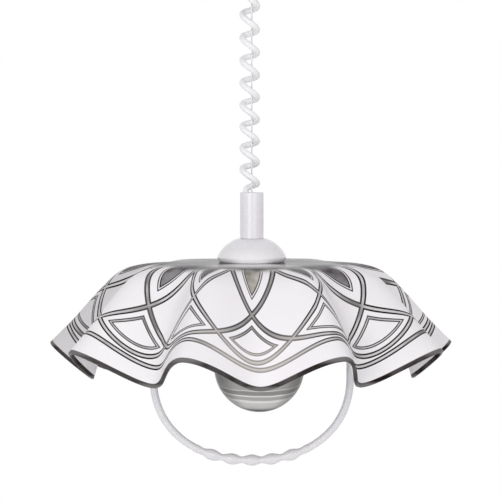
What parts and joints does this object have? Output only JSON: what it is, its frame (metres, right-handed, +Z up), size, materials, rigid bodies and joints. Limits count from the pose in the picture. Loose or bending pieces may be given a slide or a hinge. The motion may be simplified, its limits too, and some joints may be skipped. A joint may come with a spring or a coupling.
{
  "type": "rise and fall pendant",
  "caption": "Rise and fall ceiling pendant: a draped, ruffled glass shade and pull handle hang on a wire rope inside a curly cord, wound by a spring balancer in a bell canopy.",
  "frame": {"origin": "the ceiling plane, in the middle of the cross bracket", "axes": "+Z up into the ceiling, +X to the right and -Y towards the viewer; the lamp hangs along -Z"},
  "size_m": [0.4252, 0.4197, 0.5901],
  "materials": {
    "zinc_steel": "bright zinc plate, fine grain",
    "screw_steel": "turned and zinc plated",
    "spring_steel": "blued spring strip",
    "white_enamel": "smooth white stove enamel, semi-gloss",
    "white_plastic": "moulded white plastic, semi-gloss",
    "terminal_plastic": "moulded natural plastic",
    "holder_plastic": "moulded white plastic",
    "drum_plastic": "moulded black plastic",
    "brake_felt": "dense brake felt",
    "gasket_rubber": "soft pale rubber",
    "cord_sheath": "soft white sheath, satin",
    "lead_insulation": "thin lead insulation",
    "wire_rope": "stranded steel wire rope",
    "shade_glass": "thick clear glass with white enamelled fields between clear double lines",
    "screw_shell_brass": "rolled brass sheet",
    "lamp_cap_metal": "rolled aluminium thread",
    "lamp_black_glass": "black fused glass",
    "lamp_solder": "dull solder",
    "lamp_stem_glass": "clear drawn glass",
    "lamp_globe_glass": "grey tinted glass, glossy"
  },
  "bodies": {
    "ceiling": {"ceiling_bracket": "zinc_steel", "canopy_cover": "white_enamel", "canopy_screws": "screw_steel", "balancer_frame": "zinc_steel", "frame_screws": "screw_steel", "drum_axle": "zinc_steel", "axle_clips": "zinc_steel", "mainspring": "spring_steel", "brake_leaf": "spring_steel", "brake_pad": "brake_felt", "terminal_block": "terminal_plastic", "terminal_screws": "screw_steel", "supply_cord_upper": "cord_sheath", "cord_grip": "white_plastic", "grip_screws": "screw_steel", "outlet_bush": "white_plastic", "outlet_nut": "screw_steel", "suspension_rope": "wire_rope", "curly_cord": "cord_sheath"},
    "drum": {"rope_drum": "drum_plastic", "barrel_cover": "drum_plastic", "rope_winding": "wire_rope"},
    "brake_screw": {"brake_screw": "screw_steel"},
    "lamp": {"stem_tube": "white_enamel", "tube_bush": "white_plastic", "supply_cord_lower": "cord_sheath", "rope_ferrule": "wire_rope", "rope_end": "wire_rope", "anchor_yoke": "zinc_steel", "stem_nipple": "zinc_steel", "stem_nut": "screw_steel", "lock_washers": "screw_steel", "lamp_leads": "lead_insulation", "dome_cap": "white_enamel", "clamp_nut": "screw_steel", "clamp_disc": "zinc_steel", "glass_gaskets": "gasket_rubber", "centring_collar": "white_plastic", "glass_plate": "zinc_steel", "glass_shade": "shade_glass", "handle_bow": "white_plastic", "holder_cap": "holder_plastic", "holder_nut": "screw_steel", "holder_insert": "holder_plastic", "contact_screws": "screw_steel", "screw_shell": "screw_shell_brass", "holder_skirt": "holder_plastic", "lamp_contact": "lamp_solder", "lamp_insulator": "lamp_black_glass", "lamp_cap": "lamp_cap_metal", "lamp_globe": "lamp_globe_glass", "lamp_stem": "lamp_stem_glass"}
  },
  "joints": [
    {"name": "height_slide", "type": "slide", "parent": "ceiling", "child": "lamp", "axis": [0, 0, 1], "range_m": [-0.15, 0.1], "deforming": ["curly_cord", "suspension_rope"]},
    {"name": "drum_spin", "type": "hinge", "parent": "ceiling", "child": "drum", "pos_m": [0.019, 0, -0.031], "axis": [0, 1, 0], "range_deg": [-455, 305]},
    {"name": "brake_turn", "type": "hinge", "parent": "ceiling", "child": "brake_screw", "pos_m": [0.019, 0, -0.075], "axis": [0, 0, 1], "range_deg": [-180, 180]}
  ],
  "couplings": [
    {"joint": "drum_spin", "follows": "height_slide", "rad_per_m": 52.632}
  ]
}
